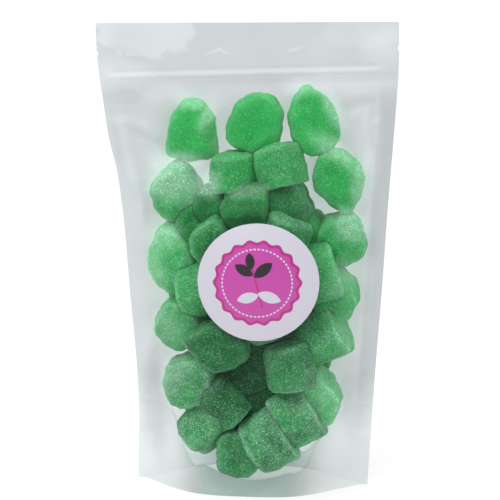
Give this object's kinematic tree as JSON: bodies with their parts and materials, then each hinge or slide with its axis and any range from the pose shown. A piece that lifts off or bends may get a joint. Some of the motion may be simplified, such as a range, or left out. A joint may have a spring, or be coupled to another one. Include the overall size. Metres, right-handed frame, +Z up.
{
  "type": "pouch of spearmint leaf candy",
  "caption": "Clear stand-up pouch, heat-sealed and zipped, filled with sugared green spearmint leaf jellies, with a round paper label.",
  "frame": {"origin": "middle of the bounding box at the level of the surface that the pouch stands on", "axes": "+Z up to the sealed header, +Y from the labelled front to the back, +X to the right seen from the front"},
  "size_m": [0.153, 0.0649, 0.2384],
  "materials": {
    "pouch_film": "clear glossy film over sugared green jellies",
    "candy": "translucent green jelly coated in sugar grains",
    "zip_plastic": "clear moulded press-to-close track",
    "label_paper": "coated paper, satin"
  },
  "bodies": {
    "root": {"pouch": "pouch_film", "zip": "zip_plastic", "label": "label_paper"}
  },
  "joints": []
}
